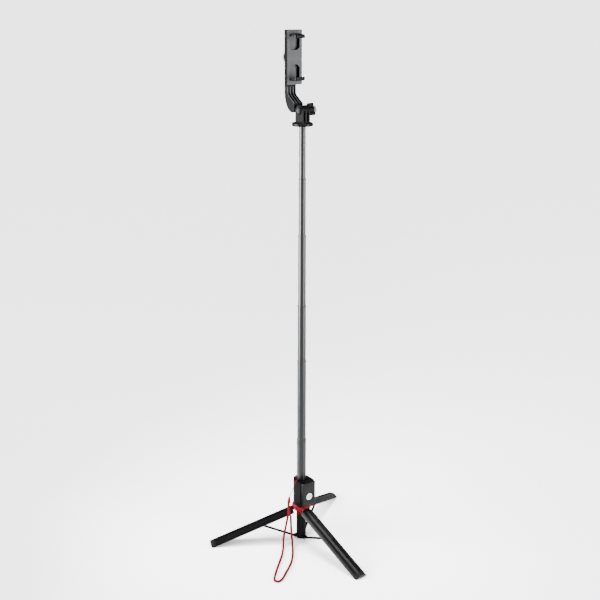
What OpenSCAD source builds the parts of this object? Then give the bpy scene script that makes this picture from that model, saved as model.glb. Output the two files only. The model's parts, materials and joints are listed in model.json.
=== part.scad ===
/* [Mast] */
// Outer radius of the thinnest telescopic tube
tube_r = 5.5; // [5:0.1:6]
// Growth of the outer radius from one tube to the next
tube_step = 0.6; // [0.5:0.05:0.7]
// Wall of every telescopic tube
tube_wall = 0.45; // [0.4:0.05:0.5]
// Height of the top of the column that carries the tubes
column_top = 205; // [200:1:210]
// Heights of the tops of tubes 2 to 5, thinnest first
tube_tops = [681, 584, 459, 356];
// Lengths of tubes 1 to 5, thinnest first
tube_lengths = [146, 153, 160, 167, 173];

/* [Handle] */
// Height of the handle's top
handle_top = 124.4; // [120:0.2:130]
// Height of the handle's underside, on the collar
handle_low = 74; // [72:0.5:75]
// Radius of the handle's round back and half its width
handle_r = 14.7; // [14:0.1:16]
// Distance from the mast axis to the face that the remote docks on
dock_y = 15.3; // [15:0.1:17]
// Thickness of the remote
remote_t = 7.9; // [7.5:0.1:9]
// Height of the remote's lower end
remote_low = 78; // [76:0.5:80]
// Height of the centre of the remote's button
button_z = 95.8; // [90:0.2:100]
// Radius of the remote's button
button_r = 6.2; // [6:0.1:8]

/* [Tripod] */
// Distance of each leg hinge from the mast axis
hinge_r = 13.6; // [13.4:0.1:13.8]
// Height of each leg hinge above the floor
hinge_z = 65.7; // [65:0.1:67]
// Angle of an open leg from the vertical
leg_open = 68.4; // [66:0.2:70]
// Length of a leg from its hinge to its end
leg_len = 168.4; // [168:0.1:170]
// Outer radius of a leg's arched section
leg_r = 14.45; // [14:0.05:14.6]
// Half width of a leg
leg_half = 13; // [12:0.1:13.2]
// Wall of a leg
leg_wall = 1.8; // [1.4:0.1:2.2]
// Distance of the strut pivot along the leg from its hinge
strut_on_leg = 75.7; // [70:0.1:80]
// Distance of the lower strut pivots from the mast axis
strut_low_r = 10.6; // [10.5:0.1:11]
// Height of the lower strut pivots above the floor, legs open
strut_low_z = 4.6; // [4.4:0.1:6]

/* [Head] */
// Height of the tilt hinge
tilt_z = 793; // [790:1:796]
// Radius of the round flange under the tilt hinge
flange_r = 17.5; // [15:0.1:18]
// Height of the holder's centre, where it swivels
holder_z = 876.4; // [874:0.2:878]
// Distance of the holder's front face behind the mast axis
holder_y = 20.8; // [20:0.1:22]
// Width of the holder
holder_w = 30.7; // [29:0.1:32]
// Height of the holder, closed
holder_h = 86.8; // [84:0.2:90]
// Thickness of the holder
holder_t = 7.2; // [7:0.1:7.6]
// Clear distance between the two claws, closed
claw_gap = 67; // [66:0.5:68]
// Reach of a claw in front of the holder
claw_reach = 16.9; // [14:0.1:17.5]

/* [Hidden] */
$fn = 64;

FRONT = 270;
LEFT = 150;
RIGHT = 30;
LEG_AZ = [FRONT, LEFT, RIGHT];

// Clearances between parts that move against each other
fit = 0.05;
gap = 0.3;

// Telescopic tubes: index 1 is the thinnest, 6 is the column
function ro(i) = tube_r + tube_step * (i - 1);
function ri(i) = ro(i) - tube_wall;
column_r = ro(6);
ferrule_r = column_r + 0.2;
ferrule_h = 11.6;
sleeve_r = column_r + 0.6;
sleeve_top = 56;
bracket_top = 8;
bead_h = 2.5;
glide_h = 3;
spigot_h = 5;

// Head base
flange_z = 768;
flange_h = 5.5;
tube_1_top = flange_z + 3;
function top_of(i) = i == 1 ? tube_1_top : tube_tops[i - 2];
function low_of(i) = top_of(i) - tube_lengths[i - 1];

// A leg's section, in its folded frame: hinge at the origin, +X away from the mast
leg_e = 1.93;
arc_x = leg_e - hinge_r;
edge_x = arc_x + sqrt(leg_r * leg_r - leg_half * leg_half);
leg_root = 3.5;
cap_len = 8;
plug_h = 2;
barrel_r = 2.5;
lug_half = 6;
pin_r = 1.2;
strut_x = -1.6;
strut_t = 3;
strut_w = 3.6;
trunnion_r = 1.1;
cheek_in = 2.2;
cheek_out = 4.2;

// The strut's geometry at rest, in the leg's radial plane
pivot_r = hinge_r + strut_x * cos(leg_open) + strut_on_leg * sin(leg_open);
pivot_z = hinge_z + strut_x * sin(leg_open) - strut_on_leg * cos(leg_open);
strut_len = norm([pivot_r - strut_low_r, pivot_z - strut_low_z]);
strut_tilt = atan2(pivot_z - strut_low_z, pivot_r - strut_low_r);

// Heights of the collar
collar_r = 17.2;
collar_low = 63.4;
collar_in = 10.6;
lobe_tip = 52.5;
lobe_half = 6.2;
notch_half = lug_half + 0.4;

remote_y = -dock_y - gap;
remote_w = 2 * handle_r - 0.4;
remote_front_y = -dock_y - remote_t;
case_wall = 1.2;

// The raised block on the dock that the remote clips over
plug_half = 5;
plug_t = 2;
plug_end = 4;

// Sizes of the tilt hinge
block_half = 7.9;
block_front = -9.8;
block_back = 9;
prong_r = 8.4;
bolt_r = 2;
nut_r = 4.5;
nut_boss_r = 6.6;
tongue = [2, 4.9];
knob_x = 9.5;
knob_len = 15;
lobe_len = 10.6;
knob_r = 11.4;
lobe_r = 2.6;
knob_turned = 20;

// Sizes of the arm
arm_half = 9.1;
arm_front = holder_y + holder_t + 0.8;
arm_t = 7.2;
arm_back = arm_front + arm_t;
arm_start = 10.2;
boss_r = 10.8;
screw_r = 2;

// Sizes of the holder
holder_back_y = holder_y + holder_t;
seam_y = holder_y + 3.2;
half_h = holder_h / 2;
cap_z = half_h - 11.9;
pocket_half = 10.3;
pocket_in = 11.4;
claw_half = 9.7;
claw_t = 2.6;
claw_z = claw_gap / 2 + claw_t / 2;
claw_y = holder_y + claw_t / 2 + 0.3;
claw_pin = 11.1;
lip_t = 2.5;
lip_drop = 3.2;
rail_x = 12.75;
rail_w = 2.6;
rail_y = 22.6;
rail_h = 2.8;
rail_low = -3;
spring_low = -36;
spring_r = 1.2;
spring_bore_r = 0.7;
spring_turns = 32;

// Wrist strap
string_d = 1.2;
cord_d = 4.2;
string_route = [[7.2, -7.2], [9.5, -4], [10.2, 0], [7.2, 7.2], [0, 10.2], [-7.2, 7.2], [-10.2, 0],
    [-11.4, -3.6]];
string_z = 125.6;
string_drop = [[-14.8, -4.6, 125.8], [-16.8, -4.4, 124], [-18.4, -3.6, 118.5], [-21, -2.4, 111],
    [-24.6, -1.2, 102.5], [-28.2, -0.6, 96]];
bead_top = [-28.6, -0.6, 95];
bead_low = [-30.8, -0.8, 79];
slider_low = [-31.2, -3.2, 59];
loop_route = [[-33.2, -1.8, 58], [-34, -1, 51], [-35.4, 0, 41], [-37, 1, 31], [-38.8, 1.8, 22],
    [-40.4, 1.6, 14], [-43, -1, 7], [-47.4, -6, 3], [-54.6, -14.6, 2.1], [-67.6, -28, 2.1],
    [-84.6, -43.4, 2.1], [-99.4, -56, 2.1], [-112.6, -68, 2.1], [-121, -76.4, 2.1],
    [-125.4, -83.4, 2.1], [-124, -88.4, 2.1], [-118, -89.6, 2.1], [-109, -85.6, 2.1],
    [-98, -78, 2.1], [-84, -68.6, 2.1], [-68.6, -57, 2.1], [-52.6, -40.6, 2.1],
    [-41.4, -26.6, 2.1], [-34.4, -17.4, 3], [-30.6, -11.8, 7], [-29.2, -8.6, 14],
    [-28.8, -6.8, 24], [-28.8, -5.8, 36], [-28.8, -5.2, 48], [-29, -5, 58]];

module ring(outer, inner, h) {
    difference() {
        cylinder(r = outer, h = h);
        translate([0, 0, -1]) cylinder(r = inner, h = h + 2);
    }
}

// A rounded rectangle in XY, centred on X, from y0 to y1
module round_plate(w, y0, y1, r) {
    translate([-w / 2 + r, y0]) square([w - 2 * r, y1 - y0]);
    translate([-w / 2, y0 + r]) square([w, y1 - y0 - 2 * r]);
    for (x = [-w / 2 + r, w / 2 - r], y = [y0 + r, y1 - r]) translate([x, y]) circle(r = r);
}

// Turns a solid drawn along Z so that it runs along X, or along Y
module along_x() {
    rotate([0, 90, 0]) children();
}

module along_y() {
    rotate([-90, 0, 0]) children();
}

// Puts a solid drawn in a leg's folded frame where that leg is, open
module leg_place(az) {
    rotate([0, 0, az]) translate([hinge_r, 0, hinge_z]) rotate([0, -leg_open, 0]) children();
}

/* Hub */

module lobe_wedge() {
    rotate([90, 0, 90]) linear_extrude(height = 20)
        polygon([[-lobe_half, collar_low + 1.2], [-lobe_half, collar_low - 0.6], [-0.9, lobe_tip],
            [0.9, lobe_tip], [lobe_half, collar_low - 0.6], [lobe_half, collar_low + 1.2]]);
}

module hub_collar() {
    color("crimson") difference() {
        union() {
            rotate_extrude() polygon([[collar_in, collar_low], [collar_r - 0.8, collar_low],
                [collar_r, collar_low + 0.8], [collar_r, handle_low - 2.5],
                [handle_r + 0.4, handle_low], [collar_in, handle_low]]);
            for (az = LEG_AZ) intersection() {
                rotate_extrude() polygon([[sleeve_r + 0.4, lobe_tip], [sleeve_r + 1.2, lobe_tip],
                    [13.2, collar_low - 0.8], [13.2, collar_low + 1], [11.2, collar_low + 1],
                    [sleeve_r + 0.4, 61.8]]);
                rotate([0, 0, az + 180]) lobe_wedge();
            }
        }
        for (az = LEG_AZ) rotate([0, 0, az]) {
            translate([collar_in - 1, -notch_half, collar_low - 1]) cube([9, 2 * notch_half, 6.5]);
            translate([hinge_r, 0, hinge_z]) along_y() cylinder(r = pin_r + 0.02, h = 22, center = true);
        }
    }
}

module hub_core() {
    color("dimgray") rotate_extrude() polygon([[9.5, 62.2], [collar_in - 0.02, 62.2],
        [collar_in - 0.02, handle_low + 0.02], [12.5, handle_low + 0.02], [12.5, handle_low + 2],
        [9.5, handle_low + 2]]);
}

module column_bush() {
    color("whitesmoke") translate([0, 0, 63]) ring(9.48, column_r + fit, 11);
}

module leg_hinge_pins() {
    color("silver") for (az = LEG_AZ) rotate([0, 0, az]) translate([hinge_r, 0, hinge_z]) along_y()
        cylinder(r = pin_r, h = 19, center = true);
}

/* Handle */

module handle_outline(grow) {
    circle(r = handle_r + grow);
    translate([-handle_r - grow, -dock_y - grow]) square([2 * handle_r + 2 * grow, dock_y + grow]);
}

handle_split = -5;
handle_wall = 1.8;

module handle_solid() {
    difference() {
        translate([0, 0, handle_low + 0.05]) linear_extrude(height = handle_top - handle_low - 0.05)
            handle_outline(0);
        difference() {
            translate([0, 0, handle_low + 4]) linear_extrude(height = handle_top - handle_low - 7)
                handle_outline(-handle_wall);
            translate([0, 0, handle_low]) cylinder(r = ferrule_r + 1.4, h = 60);
            for (x = [-11.6, 11.6], z = [81, 116]) translate([x, 0, z]) along_y()
                cylinder(r = 1.9, h = 40, center = true);
        }
        translate([0, 0, handle_low - 1]) cylinder(r = ferrule_r + gap, h = 60);
        translate([0, 0, handle_low - 1]) cylinder(r = 12.55, h = 3.1);
        for (x = [-11.6, 11.6], z = [81, 116]) translate([x, -dock_y + 1, z]) along_y()
            cylinder(r = 0.82, h = 17);
        for (x = [-11.6, 11.6], z = [81, 116]) translate([x, -dock_y - 1, z]) along_y()
            cylinder(r = 1.7, h = 2.6);
    }
}

module handle_front_shell() {
    color([0.1, 0.1, 0.11]) {
        intersection() {
            handle_solid();
            translate([-30, -40, 0]) cube([60, 40 + handle_split, 200]);
        }
        translate([-plug_half, -dock_y - plug_t, remote_low + plug_end])
            cube([2 * plug_half, plug_t + 0.2, handle_top - remote_low - 2 * plug_end]);
    }
}

module handle_rear_shell() {
    color([0.12, 0.12, 0.13]) intersection() {
        handle_solid();
        translate([-30, handle_split, 0]) cube([60, 60, 200]);
    }
}

module handle_screws() {
    color("silver") for (x = [-11.6, 11.6], z = [81, 116]) translate([x, -dock_y + 0.2, z]) along_y() {
        cylinder(r = 1.6, h = 1.4);
        cylinder(r = 0.8, h = 14);
    }
}

/* Legs */

module arch(outer, inner, low, h) {
    translate([0, 0, low]) intersection() {
        translate([arc_x, 0, 0]) ring(outer, inner, h);
        translate([edge_x, -20, 0]) cube([30, 40, h]);
    }
}

module leg(az) {
    leg_place(az) difference() {
        union() {
            arch(leg_r, leg_r - leg_wall, -leg_len + cap_len, leg_len - cap_len - leg_root);
            translate([-barrel_r, -lug_half, -9]) cube([barrel_r + 1.4, 2 * lug_half, 9]);
            along_y() cylinder(r = barrel_r, h = 2 * lug_half, center = true);
            for (side = [-1, 1]) translate([strut_x - 2.2, side * (cheek_in + cheek_out) / 2
                - (cheek_out - cheek_in) / 2, -strut_on_leg - 2.6])
                cube([5, cheek_out - cheek_in, 5.2]);
        }
        along_y() cylinder(r = pin_r + fit, h = 30, center = true);
        translate([strut_x, 0, -strut_on_leg]) along_y()
            cylinder(r = trunnion_r + fit, h = 2 * cheek_out + 2, center = true);
    }
}

module foot(az) {
    intersection() {
        leg_place(az) {
            arch(leg_r, 0.5, -leg_len, cap_len);
            arch(leg_r - leg_wall - 0.02, leg_r - leg_wall - 3,
                -leg_len + cap_len - 0.5, plug_h);
        }
        translate([-250, -250, 0]) cube([500, 500, 200]);
    }
}

module leg_front() {
    color([0.13, 0.13, 0.14]) leg(FRONT);
}

module leg_left() {
    color([0.13, 0.13, 0.14]) leg(LEFT);
}

module leg_right() {
    color([0.13, 0.13, 0.14]) leg(RIGHT);
}

module foot_front() {
    color([0.3, 0.3, 0.31]) foot(FRONT);
}

module foot_left() {
    color([0.3, 0.3, 0.31]) foot(LEFT);
}

module foot_right() {
    color([0.3, 0.3, 0.31]) foot(RIGHT);
}

/* Struts */

module strut(az) {
    rotate([0, 0, az]) translate([strut_low_r, 0, strut_low_z]) rotate([0, -strut_tilt, 0]) {
        translate([0, -strut_w / 2, -strut_t / 2]) cube([strut_len, strut_w, strut_t]);
        along_y() cylinder(r = strut_t / 2, h = 7.6, center = true);
        translate([strut_len, 0, 0]) along_y() {
            cylinder(r = 1.9, h = strut_w, center = true);
            cylinder(r = trunnion_r, h = 2 * cheek_out, center = true);
        }
    }
}

module strut_front() {
    color([0.1, 0.1, 0.1]) strut(FRONT);
}

module strut_left() {
    color([0.1, 0.1, 0.1]) strut(LEFT);
}

module strut_right() {
    color([0.1, 0.1, 0.1]) strut(RIGHT);
}

module strut_bracket() {
    color([0.1, 0.1, 0.1]) difference() {
        union() {
            translate([0, 0, 1.6]) cylinder(r = 7.6, h = bracket_top - 1.6);
            translate([0, 0, bracket_top - 0.1]) cylinder(r = ri(6) - 0.02, h = 5);
            for (az = LEG_AZ, side = [-1, 1]) rotate([0, 0, az])
                translate([5, side * 3.1 - 0.9, 1.6]) cube([8, 1.8, bracket_top - 1.6]);
        }
        for (az = LEG_AZ) rotate([0, 0, az]) translate([strut_low_r, 0, strut_low_z]) {
            along_y() cylinder(r = strut_t / 2 + gap, h = 12, center = true);
            translate([-strut_t / 2 - gap, -6, -6]) cube([strut_t + 2 * gap, 12, 6]);
            translate([-3, -strut_w / 2 - 0.35, -6]) cube([12, strut_w + 0.7, 12]);
        }
        cylinder(r = 2.6, h = 4.2);
        cylinder(r = 1.25, h = 12);
    }
}

module bracket_screw() {
    color("silver") {
        translate([0, 0, 2.2]) cylinder(r = 2.4, h = 1.9);
        translate([0, 0, 2.2]) cylinder(r = 1.2, h = 9);
    }
}

/* Column */

module column_tube() {
    color([0.25, 0.26, 0.28]) translate([0, 0, bracket_top])
        ring(column_r, ri(6), column_top - 1 - bracket_top);
}

module column_ferrule() {
    color([0.75, 0.76, 0.78]) rotate_extrude() polygon([[column_r, column_top - ferrule_h],
        [ferrule_r, column_top - ferrule_h], [ferrule_r, column_top - 0.4], [ferrule_r - 0.4, column_top],
        [ro(5) + fit, column_top], [ro(5) + fit, column_top - 0.98], [column_r, column_top - 0.98]]);
}

module column_sleeve() {
    color([0.09, 0.09, 0.1]) difference() {
        translate([0, 0, bracket_top]) ring(sleeve_r, column_r, sleeve_top - bracket_top);
        for (a = [0:30:330]) rotate([0, 0, a]) translate([sleeve_r + 0.5, 0, bracket_top - 1])
            cylinder(r = 0.8, h = 60);
    }
}

/* Telescopic tubes */

module tube(i) {
    top = top_of(i);
    low = low_of(i);
    r = ro(i);
    lip = i == 1 ? ri(1) : ro(i - 1) + fit;
    bead = i == 1 ? 0 : 0.3;
    groove = 0.15;
    color([0.8, 0.81, 0.83]) rotate_extrude() polygon([[ri(i), low], [r, low], [r, top - bead_h - 5.2],
        [r - groove, top - bead_h - 4.9], [r - groove, top - bead_h - 4.3], [r, top - bead_h - 4],
        [r, top - bead_h], [r + bead, top - bead_h + bead], [r + bead, top - bead], [r, top], [lip, top],
        [lip, top - 1.4], [ri(i), top - 1.4 - 0.3]]);
}

module glide(i) {
    low = low_of(i);
    color("ivory") rotate_extrude() polygon([[ri(i) - 1.1, low - glide_h], [ri(i + 1) - fit, low - glide_h],
        [ri(i + 1) - fit, low], [ri(i) - 0.01, low], [ri(i) - 0.01, low + spigot_h],
        [ri(i) - 1.1, low + spigot_h]]);
}

module tube_1() {
    tube(1);
}

module tube_2() {
    tube(2);
}

module tube_3() {
    tube(3);
}

module tube_4() {
    tube(4);
}

module tube_5() {
    tube(5);
}

module glide_1() {
    glide(1);
}

module glide_2() {
    glide(2);
}

module glide_3() {
    glide(3);
}

module glide_4() {
    glide(4);
}

module glide_5() {
    glide(5);
}

/* Tilt hinge */

module head_base() {
    color([0.1, 0.1, 0.11]) difference() {
        union() {
            rotate_extrude() polygon([[0, flange_z], [flange_r - 0.8, flange_z], [flange_r, flange_z + 0.8],
                [flange_r, flange_z + flange_h - 1.2], [flange_r - 1.2, flange_z + flange_h],
                [0, flange_z + flange_h]]);
            translate([-block_half, block_front, flange_z + 2])
                cube([2 * block_half, block_back - block_front, tilt_z - flange_z - 2]);
            translate([0, 0, tilt_z]) along_x() cylinder(r = prong_r, h = 2 * block_half, center = true);
            translate([-block_half - 2, 0, tilt_z]) along_x() cylinder(r = nut_boss_r, h = 4);
        }
        for (side = [-1, 1]) {
            x = side * (tongue[0] + tongue[1]) / 2;
            w = tongue[1] - tongue[0] + 2 * gap;
            translate([x - w / 2, -20, flange_z + flange_h + 1.5]) cube([w, 40, 40]);
        }
        translate([0, 0, tilt_z]) along_x() cylinder(r = bolt_r + 0.02, h = 30, center = true);
        translate([-block_half - 3, 0, tilt_z]) along_x() cylinder(r = nut_r + 0.3, h = 2.7);
        translate([0, 0, flange_z - 1]) cylinder(r = ro(1), h = tube_1_top - flange_z + 1);
    }
}

module pivot_bolt() {
    color("silver") translate([0, 0, tilt_z]) along_x() {
        translate([0, 0, -block_half - 2.3]) cylinder(r = nut_r, h = 2, $fn = 6);
        translate([0, 0, -block_half - 1]) cylinder(r = bolt_r, h = 2 * block_half + 11);
    }
}

module knob_lobes(h) {
    cylinder(r = 7, h = h);
    for (a = [90:120:330]) rotate([0, 0, a]) {
        translate([0, -lobe_r, 0]) cube([knob_r - lobe_r, 2 * lobe_r, h]);
        translate([knob_r - lobe_r, 0, 0]) cylinder(r = lobe_r, h = h);
    }
}

module knob() {
    color([0.1, 0.1, 0.11]) translate([0, 0, tilt_z]) rotate([-knob_turned, 0, 0]) along_x() difference() {
        union() {
            translate([0, 0, block_half + gap]) cylinder(r = 5.6, h = 2);
            translate([0, 0, knob_x]) knob_lobes(lobe_len);
        }
        translate([0, 0, block_half]) cylinder(r = 3.4, h = 20);
    }
}

module knob_insert() {
    color("goldenrod") translate([0, 0, tilt_z]) along_x() difference() {
        translate([0, 0, block_half + 0.5]) cylinder(r = 3.4, h = 10);
        translate([0, 0, block_half]) cylinder(r = bolt_r + fit, h = 14);
    }
}

module knob_cap() {
    color([0.55, 0.55, 0.56]) translate([knob_x + lobe_len + 0.02, 0, tilt_z]) along_x() difference() {
        cylinder(r = 6.4, h = knob_len - lobe_len);
        translate([0, 0, -1]) cylinder(r = 3.42, h = 3.3);
    }
}

/* Arm */

function arc(cy, cz, ry, rz, a0, a1, n) = [for (k = [0:n]) let (a = a0 + (a1 - a0) * k / n)
    [cy + ry * cos(a), cz + rz * sin(a)]];

arm_inner = arc(18.6, 822, arm_front - 18.6, 10, 0, -65, 10);
arm_outer = arc(16, 822, arm_back - 16, 33, -90, 0, 14);

module arm_body() {
    rotate([90, 0, 90]) translate([0, 0, -arm_half]) linear_extrude(height = 2 * arm_half)
        polygon(concat([[arm_front, holder_z]], arm_inner, [[arm_start, tilt_z + 10.2],
            [arm_start, tilt_z - 3.4]], arm_outer, [[arm_back, holder_z]]));
}

module arm_groove(x, w, z0) {
    rotate([90, 0, 90]) translate([0, 0, x - w / 2]) linear_extrude(height = w)
        polygon(concat([[arm_front - 1, z0], [arm_front + 1.6, z0]],
            arc(18.6, 822, arm_front - 17, 11.6, 0, -65, 10), [[15, tilt_z + 12], [14, tilt_z + 15]],
            arc(16.6, 822, arm_front - 17.6, 8, -65, 0, 8)));
}

module arm() {
    color([0.1, 0.1, 0.11]) difference() {
        union() {
            arm_body();
            translate([0, arm_front, holder_z]) along_y() cylinder(r = boss_r, h = arm_t);
            for (side = [-1, 1]) {
                x0 = side > 0 ? tongue[0] : -tongue[1];
                w = tongue[1] - tongue[0];
                translate([x0, 0, tilt_z]) along_x() cylinder(r = 8.2, h = w);
                translate([x0, 0, tilt_z - 3.4]) cube([w, 14, 11]);
            }
        }
        translate([0, 0, tilt_z]) along_x() cylinder(r = bolt_r + fit, h = 30, center = true);
        translate([0, arm_front - 1, holder_z]) along_y() cylinder(r = screw_r + fit, h = 12);
        translate([0, arm_back - 3, holder_z]) along_y() cylinder(r = 4.4, h = 5);
        for (x = [-6, 0, 6]) arm_groove(x, 2.6, 828);
        for (x = [-6.4, -3.2, 0, 3.2, 6.4]) translate([x - 0.8, arm_front - 1, 830.6]) cube([1.6, 2.4, 4.4]);
    }
}

module arm_cap() {
    color([0.14, 0.14, 0.15]) translate([0, arm_back + 0.02, holder_z]) along_y() {
        cylinder(r = 10.5, h = 3.2);
        translate([0, 0, 3.1]) cylinder(r = 9.7, h = 0.7);
    }
}

module swivel_screw() {
    color("silver") translate([0, 0, holder_z]) along_y() {
        translate([0, 0, holder_back_y - 2.2]) cylinder(r = screw_r, h = arm_back - holder_back_y);
        translate([0, 0, arm_back - 2.6]) cylinder(r = 4, h = 2.2);
    }
}

module swivel_washer() {
    color("gray") translate([0, holder_back_y, holder_z]) along_y() ring(7.5, screw_r + fit, 0.7);
}

/* Holder */

// The outline of a pocket in XZ for the upper claw, measured from the holder's centre
module pocket_outline(z1) {
    translate([-pocket_half, pocket_in + 4]) square([2 * pocket_half, z1 - pocket_in - 4]);
    polygon([[-pocket_half, pocket_in + 4.1], [-pocket_half + 5, pocket_in],
        [pocket_half - 5, pocket_in], [pocket_half, pocket_in + 4.1]]);
}

module pocket(y0, y1, z1) {
    translate([0, y1, 0]) rotate([90, 0, 0]) linear_extrude(height = y1 - y0) pocket_outline(z1);
}

module holder_channels(y0) {
    for (side = [-1, 1]) translate([side * rail_x - rail_w / 2 - 0.15, y0, spring_low])
        cube([rail_w + 0.3, rail_h + 0.3, 100]);
}

module holder_front() {
    color([0.24, 0.25, 0.26]) translate([0, 0, holder_z]) difference() {
        translate([-holder_w / 2, holder_y, -half_h])
            cube([holder_w, seam_y - holder_y, half_h + cap_z - 0.2]);
        pocket(holder_y - 1, seam_y + 1, 60);
        mirror([0, 0, 1]) pocket(holder_y - 1, seam_y + 1, claw_z + 2);
        holder_channels(rail_y - 0.15);
        translate([0, claw_y, -claw_z]) along_x()
            cylinder(r = 1 + fit, h = 2 * claw_pin + 0.4, center = true);
        for (x = [-5, 5]) translate([x, holder_y + 1.6, 0]) along_y() cylinder(r = 0.62, h = 5);
    }
}

module holder_back() {
    color([0.2, 0.21, 0.22]) translate([0, 0, holder_z]) difference() {
        translate([-holder_w / 2, seam_y, -half_h])
            cube([holder_w, holder_back_y - seam_y, half_h + cap_z - 0.2]);
        pocket(seam_y - 1, holder_back_y - 0.8, 60);
        mirror([0, 0, 1]) pocket(seam_y - 1, holder_back_y - 0.8, claw_z + 2);
        holder_channels(rail_y - 0.15);
        along_y() cylinder(r = screw_r, h = 60);
        for (x = [-5, 5]) translate([x, 0, 0]) along_y() {
            cylinder(r = 0.82, h = 60);
            translate([0, 0, holder_back_y - 1]) cylinder(r = 1.5, h = 5);
        }
    }
}

module holder_screws() {
    color("silver") translate([0, 0, holder_z]) for (x = [-5, 5]) translate([x, 0, 0]) along_y() {
        translate([0, 0, holder_y + 2]) cylinder(r = 0.6, h = holder_t - 2.5);
        translate([0, 0, holder_back_y - 0.95]) cylinder(r = 1.4, h = 0.9);
    }
}

module clamp_slider() {
    color([0.24, 0.25, 0.26]) translate([0, 0, holder_z]) difference() {
        union() {
            translate([-holder_w / 2, holder_y, cap_z]) cube([holder_w, holder_t, half_h - cap_z]);
            for (side = [-1, 1]) translate([side * rail_x - rail_w / 2, rail_y, rail_low])
                cube([rail_w, rail_h, cap_z - rail_low + 1]);
        }
        translate([0, claw_y, claw_z]) along_x() cylinder(r = 1 + fit, h = 2 * claw_pin + 0.4, center = true);
        translate([-claw_half - 0.3, holder_y - 1, cap_z - 1])
            cube([2 * claw_half + 0.6, holder_t + 0.2, claw_z + 1.7 - cap_z + 1]);
    }
}

module clamp_springs() {
    spring_len = spring_turns + 0.5;
    color("silver") for (side = [-1, 1])
        translate([side * rail_x, rail_y + rail_h / 2, holder_z + spring_low + 0.2])
            rotate_extrude() polygon(concat(
                [[spring_bore_r, 0]],
                [for (k = [0:spring_turns - 1], e = [0, 1]) [spring_r - 0.15 * e, k + 0.5 * e]],
                [[spring_r, spring_len], [spring_bore_r, spring_len]]));
}

/* Claws: drawn for the upper one, standing out, with the hinge at the origin */

module claw_shape() {
    difference() {
        union() {
            translate([-claw_half, -claw_reach - claw_t / 2, -claw_t / 2])
                cube([2 * claw_half, claw_reach + claw_t / 2, claw_t]);
            translate([-claw_half, -claw_reach - claw_t / 2, -claw_t / 2 - lip_drop])
                cube([2 * claw_half, lip_t, lip_drop + 1]);
            along_x() cylinder(r = claw_t / 2, h = 2 * claw_half, center = true);
            along_x() cylinder(r = 1, h = 2 * claw_pin, center = true);
        }
        for (x = [-5, 5]) translate([x, -7, -claw_t / 2 - 1]) cylinder(r = 1, h = 1.6);
    }
}

module pad_shape() {
    translate([-claw_half + 1.2, -claw_reach - claw_t / 2 + lip_t, -claw_t / 2 - 0.8])
        cube([2 * claw_half - 2.4, claw_reach - lip_t - 1.2, 0.8]);
    for (x = [-5, 5]) translate([x, -7, -claw_t / 2 - 0.4]) cylinder(r = 0.98, h = 0.98);
}

module at_upper_claw() {
    translate([0, claw_y, holder_z + claw_z]) children();
}

module at_lower_claw() {
    translate([0, claw_y, holder_z - claw_z]) mirror([0, 0, 1]) children();
}

module claw_upper() {
    color([0.1, 0.1, 0.11]) at_upper_claw() claw_shape();
}

module claw_lower() {
    color([0.1, 0.1, 0.11]) at_lower_claw() claw_shape();
}

module claw_pad_upper() {
    color([0.3, 0.3, 0.31]) at_upper_claw() pad_shape();
}

module claw_pad_lower() {
    color([0.3, 0.3, 0.31]) at_lower_claw() pad_shape();
}

/* Remote */

case_seam = -dock_y - 4;

module remote_box(grow, y0, y1) {
    translate([0, 0, remote_low - grow]) linear_extrude(height = handle_top - remote_low + 2 * grow)
        round_plate(remote_w + 2 * grow, y0, y1, 1.6);
}

module remote_front() {
    color([0.07, 0.07, 0.08]) difference() {
        intersection() {
            remote_box(0, remote_front_y, remote_y);
            translate([-30, -60, 0]) cube([60, 60 + case_seam, 200]);
        }
        translate([-remote_w / 2 + case_wall, remote_front_y + case_wall, remote_low + case_wall])
            cube([remote_w - 2 * case_wall, 10, handle_top - remote_low - 2 * case_wall]);
        translate([0, remote_front_y - 1, button_z]) along_y() cylinder(r = button_r + 0.15, h = 4);
    }
}

module remote_back() {
    color([0.1, 0.1, 0.11]) for (x = [-10, 10], z = [84, 118]) translate([x, case_seam - 0.1, z]) along_y()
        cylinder(r = 1, h = 1.5);
    color([0.1, 0.1, 0.11]) difference() {
        intersection() {
            remote_box(0, remote_front_y, remote_y);
            translate([-30, case_seam, 0]) cube([60, 60, 200]);
        }
        translate([-remote_w / 2 + case_wall, case_seam - 0.1, remote_low + case_wall])
            cube([remote_w - 2 * case_wall, 0.9, handle_top - remote_low - 2 * case_wall]);
        translate([-plug_half - gap, -dock_y - plug_t - gap, remote_low + plug_end - gap])
            cube([2 * (plug_half + gap), plug_t + 1, handle_top - remote_low - 2 * (plug_end - gap)]);
    }
}

module remote_pcb() {
    color("darkgreen") translate([-12, case_seam - 0.9, remote_low + 3]) cube([24, 0.8, 40]);
}

module remote_battery() {
    color("silver") translate([0, case_seam + 0.1, remote_low + 33.5]) rotate([90, 0, 0])
        translate([0, 0, 1]) cylinder(r = 7.9, h = 1.2);
}

module remote_button() {
    color("white") translate([0, 0, button_z]) along_y() {
        translate([0, 0, remote_front_y - 0.6]) cylinder(r = button_r, h = 1.7);
        translate([0, 0, remote_front_y + 0.9]) cylinder(r = 1.6, h = 1);
    }
}

/* Wrist strap: tubes swept along their routes */

function unit(v) = v / norm(v);
function route_dir(p, k) = unit(p[min(k + 1, len(p) - 1)] - p[max(k - 1, 0)]);

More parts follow.
